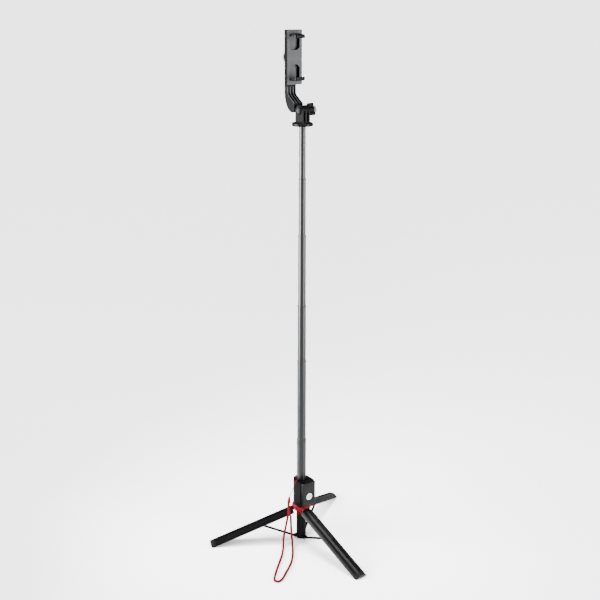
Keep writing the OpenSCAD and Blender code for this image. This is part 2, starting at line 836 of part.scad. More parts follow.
// The rings are set square to the route; across is a direction that the route never takes
module swept(p, r, n, across) {
    m = len(p);
    points = [for (k = [0:m - 1]) let (d = route_dir(p, k), u = unit(cross(d, across)), v = cross(d, u))
        for (j = [0:n - 1]) p[k] + r * (u * cos(360 * j / n) + v * sin(360 * j / n))];
    lower = [for (k = [0:m - 2], j = [0:n - 1]) [k * n + j, (k + 1) * n + j, (k + 1) * n + (j + 1) % n]];
    upper = [for (k = [0:m - 2], j = [0:n - 1]) [k * n + j, (k + 1) * n + (j + 1) % n, k * n + (j + 1) % n]];
    ends = [[for (j = [0:n - 1]) j], [for (j = [0:n - 1]) (m - 1) * n + n - 1 - j]];
    polyhedron(points = points, faces = concat(lower, upper, ends), convexity = 6);
}

module strap_string() {
    color("darkred") swept(concat([for (q = string_route) [q[0], q[1], string_z]], string_drop),
        string_d / 2, 8, [-0.5, 0.1, 1]);
}

// A turned piece from a to b with the given radii at its two ends and its middle
module turned(a, b, r0, rm, r1) {
    d = b - a;
    h = norm(d);
    translate(a) rotate([0, acos(d[2] / h), atan2(d[1], d[0])])
        rotate_extrude() polygon([[0, 0], [r0, 0], [rm, h / 2], [r1, h], [0, h]]);
}

module strap_bead() {
    color("crimson") turned(bead_top, bead_low, 1.6, 2.9, 2.2);
}

module strap_slider() {
    color("crimson") turned(bead_low, slider_low, 2.2, 2.6, 3.2);
}

module strap_loop() {
    color("crimson") swept(loop_route, cord_d / 2, 8, [0.55, -0.44, 0.7]);
}

hub_collar();
hub_core();
column_bush();
leg_hinge_pins();
handle_front_shell();
handle_rear_shell();
handle_screws();
leg_front();
leg_left();
leg_right();
foot_front();
foot_left();
foot_right();
strut_front();
strut_left();
strut_right();
column_tube();
column_ferrule();
column_sleeve();
strut_bracket();
bracket_screw();
tube_5();
tube_4();
tube_3();
tube_2();
tube_1();
glide_5();
glide_4();
glide_3();
glide_2();
glide_1();
head_base();
pivot_bolt();
knob();
knob_insert();
knob_cap();
arm();
arm_cap();
swivel_screw();
swivel_washer();
holder_front();
holder_back();
holder_screws();
clamp_slider();
clamp_springs();
claw_upper();
claw_lower();
claw_pad_upper();
claw_pad_lower();
remote_front();
remote_back();
remote_pcb();
remote_battery();
remote_button();
strap_string();
strap_bead();
strap_slider();
strap_loop();
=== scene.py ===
"""The selfie stick's looks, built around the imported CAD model. Metres, mast along +Z, front at -Y."""
import json
import math

import bmesh
import bpy
from mathutils import Matrix, Vector


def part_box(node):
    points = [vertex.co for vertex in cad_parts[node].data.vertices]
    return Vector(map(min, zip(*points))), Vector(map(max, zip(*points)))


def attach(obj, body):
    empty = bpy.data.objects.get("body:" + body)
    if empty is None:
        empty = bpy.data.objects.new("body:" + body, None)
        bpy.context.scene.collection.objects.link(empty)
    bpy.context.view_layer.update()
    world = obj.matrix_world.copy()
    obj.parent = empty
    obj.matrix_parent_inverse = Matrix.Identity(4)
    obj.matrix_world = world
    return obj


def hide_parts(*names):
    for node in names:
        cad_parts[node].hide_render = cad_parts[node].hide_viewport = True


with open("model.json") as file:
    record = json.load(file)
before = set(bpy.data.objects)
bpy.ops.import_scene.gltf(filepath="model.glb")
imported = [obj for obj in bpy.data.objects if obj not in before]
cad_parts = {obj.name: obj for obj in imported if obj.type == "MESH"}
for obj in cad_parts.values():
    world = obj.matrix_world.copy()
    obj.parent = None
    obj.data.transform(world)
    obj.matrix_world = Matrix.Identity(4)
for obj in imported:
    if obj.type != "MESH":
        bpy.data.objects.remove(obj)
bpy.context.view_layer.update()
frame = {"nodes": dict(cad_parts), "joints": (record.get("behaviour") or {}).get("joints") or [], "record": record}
nodes = frame["nodes"]
MM = 0.001
JOINTS = {joint["name"]: joint for joint in frame["joints"]}


def pivot_mm(joint):
    """Where a hinge's axis stands, in the CAD's millimetres."""
    return [v / MM for v in JOINTS[joint]["pos_m"]]


def box_mm(node):
    """A CAD node's lowest and highest corners at rest, in millimetres."""
    return [[v / MM for v in corner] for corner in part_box(node)]


# ---- Camera ----

CAMERA_AZIMUTH = math.radians(38.85)
CAMERA_PITCH = math.radians(17.367)
CAMERA_ROLL = math.radians(-0.18)
CAMERA_DISTANCE = 1.5574
CAMERA_HEIGHT = 0.9555


def view_direction():
    """The level direction that the camera looks in."""
    return Vector((math.sin(CAMERA_AZIMUTH), math.cos(CAMERA_AZIMUTH), 0))


def camera():
    """The photograph's viewing angle, from the camera that its perspective fits."""
    look = view_direction()
    data = bpy.data.cameras.new("camera")
    data.sensor_width = 36.0
    data.lens = 56.36
    data.shift_x = -0.0032
    data.clip_start = 0.05
    data.clip_end = 50.0
    cam = bpy.data.objects.new("camera", data)
    bpy.context.collection.objects.link(cam)
    cam.location = -CAMERA_DISTANCE * look + Vector((0, 0, CAMERA_HEIGHT))
    aim = look * math.cos(CAMERA_PITCH) - Vector((0, 0, math.sin(CAMERA_PITCH)))
    roll = Matrix.Rotation(CAMERA_ROLL, 3, aim)
    cam.rotation_mode = "QUATERNION"
    cam.rotation_quaternion = (roll @ aim.to_track_quat("-Z", "Y").to_matrix()).to_quaternion()
    bpy.context.scene.camera = cam


camera()


# ---- Materials ----

# The middle of a noise texture's grey, which is spread over the whole effect.
NOISE_LOW = 0.3
NOISE_HIGH = 0.7


def shader(name, color, roughness, metallic=0.0, coat=0.0, specular=0.0):
    """A principled material with its plain values on the shader's own sockets."""
    mat = bpy.data.materials.new(name)
    mat.use_nodes = True
    bsdf = mat.node_tree.nodes["Principled BSDF"]
    bsdf.inputs["Base Color"].default_value = (*color, 1)
    bsdf.inputs["Roughness"].default_value = roughness
    bsdf.inputs["Metallic"].default_value = metallic
    bsdf.inputs["Coat Weight"].default_value = coat
    bsdf.inputs["Coat Roughness"].default_value = roughness * 0.8
    bsdf.inputs["Specular IOR Level"].default_value = specular
    return mat, bsdf


def noise(mat, scale, detail=4.0, stretch=(1, 1, 1)):
    """A noise texture in object space; returns its node."""
    tree = mat.node_tree
    coord = tree.nodes.new("ShaderNodeTexCoord")
    mapping = tree.nodes.new("ShaderNodeMapping")
    tex = tree.nodes.new("ShaderNodeTexNoise")
    mapping.inputs["Scale"].default_value = stretch
    tex.inputs["Scale"].default_value = scale
    tex.inputs["Detail"].default_value = detail
    tree.links.new(coord.outputs["Object"], mapping.inputs["Vector"])
    tree.links.new(mapping.outputs["Vector"], tex.inputs["Vector"])
    return tex


def vary(mat, bsdf, tex, socket, low, high):
    """Maps a texture's grey to a range on one of the shader's sockets."""
    tree = mat.node_tree
    ramp = tree.nodes.new("ShaderNodeMapRange")
    ramp.inputs["From Min"].default_value = NOISE_LOW
    ramp.inputs["From Max"].default_value = NOISE_HIGH
    ramp.inputs["To Min"].default_value = low
    ramp.inputs["To Max"].default_value = high
    tree.links.new(tex.outputs["Fac"], ramp.inputs["Value"])
    tree.links.new(ramp.outputs["Result"], bsdf.inputs[socket])


def tint(mat, bsdf, tex, dark, light):
    """Maps a texture's grey to a range of colours."""
    tree = mat.node_tree
    ramp = tree.nodes.new("ShaderNodeValToRGB")
    ramp.color_ramp.elements[0].position = NOISE_LOW
    ramp.color_ramp.elements[1].position = NOISE_HIGH
    ramp.color_ramp.elements[0].color = (*dark, 1)
    ramp.color_ramp.elements[1].color = (*light, 1)
    tree.links.new(tex.outputs["Fac"], ramp.inputs["Fac"])
    tree.links.new(ramp.outputs["Color"], bsdf.inputs["Base Color"])


def bump(mat, bsdf, tex, strength, distance):
    """Raises the surface by a texture."""
    tree = mat.node_tree
    node = tree.nodes.new("ShaderNodeBump")
    node.inputs["Strength"].default_value = strength
    node.inputs["Distance"].default_value = distance
    tree.links.new(tex.outputs["Fac"], node.inputs["Height"])
    tree.links.new(node.outputs["Normal"], bsdf.inputs["Normal"])
    tree.links.new(node.outputs["Normal"], bsdf.inputs["Coat Normal"])


def plastic(name, color, roughness, grain=2600, depth=0.00004, coat=0.12, spread=0.25):
    """Moulded plastic: a thin glossy skin over a fine grain, with slightly uneven colour and gloss."""
    mat, bsdf = shader(name, color, roughness, coat=coat)
    fine = noise(mat, grain, 3.0)
    broad = noise(mat, 90, 3.0)
    bump(mat, bsdf, fine, 0.35, depth)
    vary(mat, bsdf, broad, "Roughness", roughness * 0.85, min(1, roughness * 1.15))
    tint(mat, bsdf, broad, [c * (1 - spread / 2) for c in color], [c * (1 + spread / 2) for c in color])
    return mat


def metal(name, color, roughness, stretch=(1, 1, 0.02), scale=900, depth=0.00001, turned=0.0):
    """Drawn or turned metal: fine streaks, and on turned tubes highlights drawn out along the axis."""
    mat, bsdf = shader(name, color, roughness, metallic=1.0, specular=0.5)
    streak = noise(mat, scale, 5.0, stretch)
    vary(mat, bsdf, streak, "Roughness", roughness * 0.9, roughness * 1.1)
    tint(mat, bsdf, streak, [c * 0.95 for c in color], [min(1, c * 1.04) for c in color])
    bump(mat, bsdf, streak, 0.1, depth)
    if turned:
        tangent = mat.node_tree.nodes.new("ShaderNodeTangent")
        tangent.direction_type = "RADIAL"
        tangent.axis = "Z"
        mat.node_tree.links.new(tangent.outputs["Tangent"], bsdf.inputs["Tangent"])
        bsdf.inputs["Anisotropic"].default_value = turned
        bsdf.inputs["Anisotropic Rotation"].default_value = 0.25
    return mat


def cloth_cord(name, color, scale):
    """Braided cord: fine crossing ridges, with the colour darker in their hollows as painted shade."""
    mat, bsdf = shader(name, color, 0.75, specular=0.1)
    tex = noise(mat, scale, 2.0)
    bump(mat, bsdf, tex, 0.8, 0.0002)
    # Darker where the ridges are low: painted shade in the hollows.
    tint(mat, bsdf, tex, [c * 0.6 for c in color], [min(1, c * 1.25) for c in color])
    return mat


MATERIALS = {
    "black_plastic": plastic("black_plastic", (0.0013, 0.0013, 0.0015), 0.36, coat=0.08),
    "gloss_black": plastic("gloss_black", (0.0007, 0.0007, 0.0009), 0.1, grain=1200, depth=0.00001, coat=0.2),
    "red_plastic": plastic("red_plastic", (0.085, 0.0003, 0.0035), 0.4, coat=0.12),
    "column_metal": metal("column_metal", (0.024, 0.0245, 0.0258), 0.32, turned=0.9),
    "tube_metal": metal("tube_metal", (0.024, 0.0245, 0.0252), 0.3, turned=0.9),
    "steel": metal("steel", (0.3, 0.3, 0.31), 0.28),
    "brass": metal("brass", (0.5, 0.34, 0.12), 0.3),
    "white_plastic": plastic("white_plastic", (0.7, 0.71, 0.72), 0.35, coat=0.3, spread=0.05),
    "grey_rubber": plastic("grey_rubber", (0.005, 0.005, 0.0055), 0.65, grain=1800, depth=0.0001, coat=0.05),
    "holder_grey": plastic("holder_grey", (0.0018, 0.0018, 0.002), 0.45, coat=0.02),
    "red_cord": cloth_cord("red_cord", (0.075, 0.0004, 0.0045), 1800),
    "board": plastic("board", (0.01, 0.09, 0.03), 0.35),
}
LEG_BLACK = plastic("leg_black", (0.0014, 0.0014, 0.0016), 0.25, coat=0.1)
# Lighter grey: painted highlight on the leg rims and the arm's ribs, and the button mark's own colour.
PAINTED_HIGHLIGHT_AND_MARK_GREY = plastic("painted_highlight_and_mark_grey", (0.03, 0.031, 0.033), 0.35, coat=0.2)
FACE_GREY = plastic("face_grey", (0.026, 0.027, 0.028), 0.55, grain=1500, depth=0.00008)
CAP_GREY = plastic("cap_grey", (0.07, 0.071, 0.074), 0.4)
FOOT_GREY = plastic("foot_grey", (0.03, 0.031, 0.033), 0.6)
STRING_RED = cloth_cord("string_red", (0.05, 0.0004, 0.002), 2400)
DARK_STEEL = metal("dark_steel", (0.008, 0.008, 0.009), 0.5)


# ---- Wrist strap ----

# Routes and diameters in the CAD's millimetres.
STRING_D = 1.2
CORD_D = 4.2
STRING_ROUTE = [(7.2, -7.2), (9.5, -4), (10.2, 0), (7.2, 7.2), (0, 10.2), (-7.2, 7.2), (-10.2, 0),
                (-11.4, -3.6)]
STRING_Z = 125.6
STRING_DROP = [(-14.8, -4.6, 125.8), (-16.8, -4.4, 124), (-18.4, -3.6, 118.5), (-21, -2.4, 111),
               (-24.6, -1.2, 102.5), (-28.2, -0.6, 96)]
LOOP_ROUTE = [
    (-33.2, -1.8, 58), (-34, -1, 51), (-35.4, 0, 41), (-37, 1, 31), (-38.8, 1.8, 22),
    (-40.4, 1.6, 14), (-43, -1, 7), (-47.4, -6, 3), (-54.6, -14.6, 2.1), (-67.6, -28, 2.1),
    (-84.6, -43.4, 2.1), (-99.4, -56, 2.1), (-112.6, -68, 2.1), (-121, -76.4, 2.1),
    (-125.4, -83.4, 2.1), (-124, -88.4, 2.1), (-118, -89.6, 2.1), (-109, -85.6, 2.1),
    (-98, -78, 2.1), (-84, -68.6, 2.1), (-68.6, -57, 2.1), (-52.6, -40.6, 2.1),
    (-41.4, -26.6, 2.1), (-34.4, -17.4, 3), (-30.6, -11.8, 7), (-29.2, -8.6, 14),
    (-28.8, -6.8, 24), (-28.8, -5.8, 36), (-28.8, -5.2, 48), (-29, -5, 58),
]


def cord_curve(name, route, diameter, mat):
    """An open spline through the route, in the CAD's millimetres."""
    data = bpy.data.curves.new(name, "CURVE")
    data.dimensions = "3D"
    data.bevel_depth = diameter / 2 * MM
    data.bevel_resolution = 5
    data.resolution_u = 8
    data.use_fill_caps = True
    spline = data.splines.new("BEZIER")
    spline.bezier_points.add(len(route) - 1)
    for point, place in zip(spline.bezier_points, route):
        point.co = Vector(place) * MM
        point.handle_left_type = "AUTO"
        point.handle_right_type = "AUTO"
    obj = bpy.data.objects.new(name, data)
    bpy.context.collection.objects.link(obj)
    obj.data.materials.append(mat)
    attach(obj, "grip")
    return obj


def strap():
    """The thin string round the column, and the wrist loop that hangs from it on to the floor."""
    string_route = [(x, y, STRING_Z) for x, y in STRING_ROUTE] + STRING_DROP
    string = cord_curve("string", string_route, STRING_D, STRING_RED)
    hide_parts("strap_string")
    loop = cord_curve("wrist_loop", LOOP_ROUTE, CORD_D, MATERIALS["red_cord"])
    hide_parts("strap_loop")


strap()


# ---- CAD nodes that stay: each gets its slot's material ----

def dress():
    """Gives every CAD node the material of its record slot."""
    for sub in frame["record"]["subparts"]:
        obj = nodes[sub["node"]]
        obj.data.materials.clear()
        obj.data.materials.append(MATERIALS[sub["material_slot"]])


dress()


FACING = 0.97


def paint(node, mat):
    """Gives a whole CAD node another finish than its slot's."""
    nodes[node].data.materials.clear()
    nodes[node].data.materials.append(mat)


def paint_facing(node, mat, direction):
    """Gives a CAD node's faces that look along a direction, within 14 degrees, another finish."""
    mesh = nodes[node].data
    mesh.materials.append(mat)
    index = len(mesh.materials) - 1
    for poly in mesh.polygons:
        if poly.normal.dot(direction) > FACING:
            poly.material_index = index


LEG_OPEN = math.radians(JOINTS["leg_front_fold"]["range_deg"][1])
LEG_AZIMUTHS = {"front": math.radians(270), "left": math.radians(150), "right": math.radians(30)}


def finish_faces():
    """The greyer front of the holder, caps, bolt and ends of the feet."""
    for node in ("holder_front", "holder_back", "clamp_slider"):
        paint_facing(node, FACE_GREY, Vector((0, -1, 0)))
    paint("arm_cap", CAP_GREY)
    paint("knob_cap", CAP_GREY)
    paint("pivot_bolt", DARK_STEEL)
    for name, turn in LEG_AZIMUTHS.items():
        level = Vector((math.cos(turn), math.sin(turn), 0))
        outward = math.sin(LEG_OPEN) * level - Vector((0, 0, math.cos(LEG_OPEN)))
        paint_facing("foot_" + name, FOOT_GREY, outward)


finish_faces()


# ---- Mesh helpers ----

def mesh_piece(name, verts, faces, mat, body, smooth=35):
    """A mesh from millimetre points, riding on a body, with its sharp edges kept."""
    mesh = bpy.data.meshes.new(name)
    mesh.from_pydata([Vector(v) * MM for v in verts], [], faces)
    mesh.materials.append(mat)
    obj = bpy.data.objects.new(name, mesh)
    bpy.context.collection.objects.link(obj)
    work = bmesh.new()
    work.from_mesh(mesh)
    bmesh.ops.recalc_face_normals(work, faces=work.faces)
    work.to_mesh(mesh)
    work.free()
    for poly in mesh.polygons:
        poly.use_smooth = True
    mesh.set_sharp_from_angle(angle=math.radians(smooth))
    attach(obj, body)
    return obj


def loft(rings):
    """Points and faces of a closed skin over rings that have the same number of points."""
    n = len(rings[0])
    verts = [p for ring in rings for p in ring]
    faces = []
    for k in range(len(rings) - 1):
        for j in range(n):
            a, b = k * n + j, k * n + (j + 1) % n
            faces.append((a, b, b + n, a + n))
    faces.append(tuple(range(n))[::-1])
    faces.append(tuple(range((len(rings) - 1) * n, len(rings) * n)))
    return verts, faces


def round_box(width, height, radius, steps=6):
    """The outline of a rounded rectangle about the origin, anticlockwise."""
    points = []
    for cx, cy, start in ((1, 1, 0), (-1, 1, 90), (-1, -1, 180), (1, -1, 270)):
        for k in range(steps + 1):
            t = math.radians(start + 90 * k / steps)
            points.append((cx * (width / 2 - radius) + radius * math.cos(t),
                           cy * (height / 2 - radius) + radius * math.sin(t)))
    return points


EDGE_SEGMENTS = 2
EDGE_ANGLE = math.radians(40)


def soften(node, width):
    """Rounds a CAD node's sharp edges with a modifier; its own mesh stays as it is."""
    mod = nodes[node].modifiers.new("edges", "BEVEL")
    mod.width = width * MM
    mod.segments = EDGE_SEGMENTS
    mod.limit_method = "ANGLE"
    mod.angle_limit = EDGE_ANGLE
    mod.harden_normals = False


# ---- Legs ----

HINGE_Z = pivot_mm("leg_front_fold")[2]
HINGE_R = -pivot_mm("leg_front_fold")[1]
LEG_LEN = 168.4
LEG_R = 14.45
LEG_HALF = 13.0
LEG_CROWN = 1.93
ARC_X = LEG_CROWN - HINGE_R
CAP_LEN = 8.0
SKIN_ROOT = -0.35
SKIN_LOW = 0.02
RIB_PITCH = 2.0
RIB_HALF = 14.0
RIB_HEIGHT = 0.34
RIB_FROM = 84.0
RIB_TO = LEG_LEN - CAP_LEN - 0.6
LINE_HEIGHT = 0.28
LINE_FROM = 6.0
INNER_TO = RIB_FROM - 4
# Degrees from the crown and half width in degrees, for each pair of lines.
OUTER_LINE = (17.5, 1.6)
INNER_LINE = (7.0, 1.3)
# Degrees in from the leg's edge at which its rim starts and ends; the rim's grey is a painted highlight.
RIM_ANGLES = (4.2, 0.3)


def leg_point(x, y, z, azimuth):
    """A point of a leg's folded frame, hinge at the origin, where the open leg has it."""
    r = HINGE_R + x * math.cos(LEG_OPEN) - z * math.sin(LEG_OPEN)
    h = HINGE_Z + x * math.sin(LEG_OPEN) + z * math.cos(LEG_OPEN)
    return (r * math.cos(azimuth) - y * math.sin(azimuth), r * math.sin(azimuth) + y * math.cos(azimuth), h)


def on_arch(angle, proud, s, azimuth):
    """A point on a leg's arched outside, at an angle from its crown and a distance along it."""
    t = math.radians(angle)
    r = LEG_R + proud
    return leg_point(ARC_X + r * math.cos(t), r * math.sin(t), -s, azimuth)


def arch_strip(name, leg, angles, stations, proud, mat):
    """A thin skin on a leg between two angles; proud(angle share, s) is its height above the arch."""
    steps = 12
    azimuth = LEG_AZIMUTHS[leg]
    rings = []
    for s in stations:
        top = []
        under = []
        for k in range(steps + 1):
            share = k / steps
            angle = angles[0] + (angles[1] - angles[0]) * share
            top.append(on_arch(angle, proud(share, s), s, azimuth))
            under.append(on_arch(angle, SKIN_ROOT, s, azimuth))
        rings.append(top + under[::-1])
    verts, faces = loft(rings)
    return mesh_piece(name, verts, faces, mat, "leg_" + leg, smooth=30)


def ribbed(share, s):
    """The height of the cross ribs, which fade out at the strip's two sides."""
    wave = 0.5 + 0.5 * math.cos(2 * math.pi * (s - RIB_FROM) / RIB_PITCH)
    return SKIN_LOW + RIB_HEIGHT * wave * min(1, 6 * share, 6 * (1 - share))


def rounded(share, s):
    """The height of a line with a round back, the same all along."""
    return SKIN_LOW + LINE_HEIGHT * math.sin(math.pi * share)


def leg_details(leg):
    """Grip ribs on the outer half of the crown, raised lines along it, and grey rims, which are a painted
    highlight along the leg's edges.
    """
    count = int((RIB_TO - RIB_FROM) / RIB_PITCH)
    ribs = [RIB_FROM + (k + quarter / 4) * RIB_PITCH for k in range(count) for quarter in range(4)]
    arch_strip(f"leg_ribs_{leg}", leg, (-RIB_HALF, RIB_HALF), ribs, ribbed, LEG_BLACK)
    whole = [LINE_FROM, 40, 80, 120, RIB_TO]
    inner = [LINE_FROM, 30, 55, INNER_TO]
    for line_name, (away, half), stations in (("line", OUTER_LINE, whole), ("inner_line", INNER_LINE, inner)):
        for label, side in (("a", -1), ("b", 1)):
            angles = (side * away - half, side * away + half)
            arch_strip(f"leg_{line_name}_{label}_{leg}", leg, angles, stations, rounded, LEG_BLACK)
    edge = math.degrees(math.asin(LEG_HALF / LEG_R))
    # The rims' grey is a painted highlight along the leg's edges.
    for label, side in (("a", -1), ("b", 1)):
        angles = sorted(side * (edge - inset) for inset in RIM_ANGLES)
        arch_strip(f"leg_rim_highlight_{label}_{leg}", leg, angles, whole, rounded, PAINTED_HIGHLIGHT_AND_MARK_GREY)


for leg_name in LEG_AZIMUTHS:
    leg_details(leg_name)


# ---- Remote and its button ----

REMOTE_BOX = box_mm("remote_front")
REMOTE_FRONT_Y = REMOTE_BOX[0][1]
REMOTE_SEAM_Y = REMOTE_BOX[1][1]
REMOTE_LOW = REMOTE_BOX[0][2]
REMOTE_HIGH = REMOTE_BOX[1][2]
REMOTE_W = REMOTE_BOX[1][0] - REMOTE_BOX[0][0]
REMOTE_CORNER = 2.6
CORNER_SHRINK = 0.9
CASE_WALL = 1.2
# Depth behind the lid's front, with the inset from its outline or the gap round the button.
RIM_PROFILE = [(1.4, 0.0), (0.8, 0.14), (0.35, 0.45), (0.1, 0.9), (0.0, 1.5)]
HOLE_PROFILE = [(0.0, 0.6), (0.12, 0.3), (0.35, 0.2), (CASE_WALL, 0.2)]
BUTTON_BOX = box_mm("remote_button")
BUTTON_R = BUTTON_BOX[1][0]
BUTTON_Z = (BUTTON_BOX[0][2] + BUTTON_BOX[1][2]) / 2
BUTTON_FRONT_Y = BUTTON_BOX[0][1]
# Radius and depth behind the button's front.
BUTTON_PROFILE = [(BUTTON_R, 1.7), (BUTTON_R, 0.45), (BUTTON_R - 0.12, 0.2), (BUTTON_R - 0.4, 0.06),
                  (BUTTON_R - 1.0, 0.0), (BUTTON_R * 0.7, 0.12), (BUTTON_R * 0.35, 0.2), (0.4, 0.22)]
MARK_TOP = 0.02
MARK_ROOT = 0.5
MARK_LINE = 0.42
MARK_LENS_R = 1.7
MARK_SIZE = (7.0, 4.8)
MARK_CORNERS = (1.2, 0.8)


def rim_point(angle, inset):
    """Where a ray from the button's centre leaves the lid's rounded outline, drawn in by an inset."""
    mid = (REMOTE_LOW + REMOTE_HIGH) / 2
    half_w = REMOTE_W / 2 - inset
    half_h = (REMOTE_HIGH - REMOTE_LOW) / 2 - inset
    radius = REMOTE_CORNER - CORNER_SHRINK * inset
    near, far = 0.0, REMOTE_HIGH - REMOTE_LOW
    halvings = 30
    for _ in range(halvings):
        reach = (near + far) / 2
        over_x = max(abs(reach * math.cos(angle)) - half_w + radius, 0)
        over_z = max(abs(BUTTON_Z - mid + reach * math.sin(angle)) - half_h + radius, 0)
        if math.hypot(over_x, over_z) < radius:
            near = reach
        else:
            far = reach
    return near * math.cos(angle), BUTTON_Z + near * math.sin(angle)


def circle(radius, count):
    """Points round the origin, anticlockwise."""
    turns = [2 * math.pi * k / count for k in range(count)]
    return [(radius * math.cos(t), radius * math.sin(t)) for t in turns]


def tube_faces(rings, count):
    """Faces between neighbouring rings and between the last and the first, so the skin closes on itself."""
    faces = []
    for k in range(rings):
        here = k * count
        after = (k + 1) % rings * count
        for j in range(count):
            following = (j + 1) % count
            faces.append((here + j, here + following, after + following, after + j))
    return faces


def remote_face():
    """The remote's front case: a lid with a rounded rim, a wall and a round opening for the button."""
    count = 288
    turns = [2 * math.pi * k / count for k in range(count)]
    outside = [(REMOTE_SEAM_Y, 0)] + [(REMOTE_FRONT_Y + depth, inset) for depth, inset in RIM_PROFILE]
    inside = [(REMOTE_FRONT_Y + CASE_WALL, CASE_WALL), (REMOTE_SEAM_Y, CASE_WALL)]
    rings = [[(x, y, z) for x, z in (rim_point(a, inset) for a in turns)] for y, inset in outside]
    for depth, gap in HOLE_PROFILE:
        rings.append([(x, REMOTE_FRONT_Y + depth, BUTTON_Z + z) for x, z in circle(BUTTON_R + gap, count)])
    rings += [[(x, y, z) for x, z in (rim_point(a, inset) for a in turns)] for y, inset in inside]
    verts = [p for ring in rings for p in ring]
    faces = tube_faces(len(rings), count)
    lid = mesh_piece("remote_lid", verts, faces, MATERIALS["gloss_black"], "remote")
    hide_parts("remote_front")


def button():
    """A domed button with a rounded rim, and a thin camera mark on it."""
    rings = [[(x, BUTTON_FRONT_Y + depth, BUTTON_Z + z) for x, z in circle(r, 72)]
             for r, depth in BUTTON_PROFILE]
    verts, faces = loft(rings)
    cap = mesh_piece("button_cap", verts, faces, MATERIALS["white_plastic"], "button")
    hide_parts("remote_button")
    width, height = MARK_SIZE
    mark("mark_lens", circle(MARK_LENS_R, 40), circle(MARK_LENS_R - MARK_LINE, 40))
    mark("mark_body", round_box(width, height, MARK_CORNERS[0]),
         round_box(width - 2 * MARK_LINE, height - 2 * MARK_LINE, MARK_CORNERS[1]))


def mark(name, outer, inner):
    """A raised line on the button's face between two outlines of the same length."""
    rings = []
    for outline, depth in ((outer, MARK_ROOT), (outer, MARK_TOP), (inner, MARK_TOP), (inner, MARK_ROOT)):
        rings.append([(x, BUTTON_FRONT_Y + depth, BUTTON_Z + z) for x, z in outline])
    verts = [p for ring in rings for p in ring]
    mesh_piece(name, verts, tube_faces(len(rings), len(outer)), PAINTED_HIGHLIGHT_AND_MARK_GREY, "button")


remote_face()
button()


# ---- Filler in the seam under the clamp's slider ----

SEAM_INSET = 0.15
SEAM_SIDE = 1.0
SEAM_REAR = 0.55
SEAM_SINK = 0.03
SEAM_RISE = 0.17


def seam_filler():
    """Three thin strips on the holder's top edge, so that no light shows through the seam."""
    front_low, top = box_mm("holder_front")
    right = top[0] - SEAM_INSET
    front = front_low[1] + SEAM_INSET
    back = box_mm("holder_back")[1][1] - SEAM_INSET
    left_strip = ((-right, SEAM_SIDE - right), (front, back))
    right_strip = ((right - SEAM_SIDE, right), (front, back))
    rear_strip = ((SEAM_SIDE - right, right - SEAM_SIDE), (back - SEAM_REAR, back))
    verts = []
    faces = []
    for (x0, x1), (y0, y1) in (left_strip, right_strip, rear_strip):
        corners = ((x0, y0), (x1, y0), (x1, y1), (x0, y1))
        strip = [[(x, y, top[2] + z) for x, y in corners] for z in (-SEAM_SINK, SEAM_RISE)]
        strip_verts, strip_faces = loft(strip)
        faces += [tuple(i + len(verts) for i in face) for face in strip_faces]
        verts += strip_verts
    mesh_piece("seam_filler", verts, faces, MATERIALS["holder_grey"], "holder")


seam_filler()


# ---- Claws ----

CLAW_HALF = 9.7
CLAW_REACH = 18.2
CLAW_HALF_T = 1.3
CLAW_TAPER = 3.6
CLAW_CORNER = 0.96
CLAW_TIP_PULL = 2.6
CLAW_DOME_DROP = 0.45
# Y and Z about the claw's hinge; minus Y is towards the tip.
CLAW_PROFILE = [(1.3, 0.0), (1.0, 0.9), (0.0, 1.3), (-3.0, 2.2), (-6.5, 2.6), (-10.0, 2.4), (-13.5, 1.7),
                (-16.4, 1.1), (-17.8, 0.6), (-18.2, -0.6), (-18.2, -3.2), (-17.8, -4.2), (-17.0, -4.5),
                (-16.1, -4.3), (-15.8, -3.4), (-15.7, -2.0), (-15.2, -1.3), (-9.0, -1.3), (-3.0, -1.3),
                (0.0, -1.3), (1.0, -0.9)]


def claw(name, body, node, joint, sign):
    """A claw with a domed back, rounded front corners and a hooked lip; sign is 1 for the upper one."""
    hinge = pivot_mm(joint)
    rings = []
    steps = 22
    for k in range(steps + 1):
        x = CLAW_HALF * math.sin(math.pi / 2 * (2 * k / steps - 1))
        side = max(0.0, (abs(x) - CLAW_HALF + CLAW_TAPER) / CLAW_TAPER)
        pull = 1 - math.sqrt(max(0.0, 1 - side * side * CLAW_CORNER))
        ring = []
        for y, z in CLAW_PROFILE:
            near = min(1.0, max(0.0, -y / CLAW_REACH))
            back = y + pull * CLAW_TIP_PULL * near * near
            dome = z * (1 - CLAW_DOME_DROP * pull) if z > CLAW_HALF_T else z
            ring.append((x, hinge[1] + back, hinge[2] + sign * dome))
        rings.append(ring)
    verts, faces = loft(rings)
    obj = mesh_piece(name, verts, faces, MATERIALS["black_plastic"], body, smooth=40)
    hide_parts(node)


claw("upper_claw", "claw_up", "claw_upper", "claw_upper_fold", 1)
claw("lower_claw", "claw_low", "claw_lower", "claw_lower_fold", -1)


# ---- Ribs on the arm's front ----

ARM_FRONT = pivot_mm("holder_swivel")[1]
ARM_ARC_Y = 18.6
ARM_ARC_Z = 822.0
ARM_ARC_RZ = 10.0
ARM_ARC_END = -65
ARM_RIB_TOPS = (829.0, 827.0, 824.5)
# Y and Z of the ribs' lower ends.
ARM_RIB_END = (10.8, 803.9)
ARM_RIB_XS = (-8.2, -3.0, 3.0, 8.2)
ARM_RIB_SECTION = ((-0.8, -0.4), (-0.8, 0.12), (-0.45, 0.4), (0, 0.48), (0.45, 0.4), (0.8, 0.12), (0.8, -0.4))


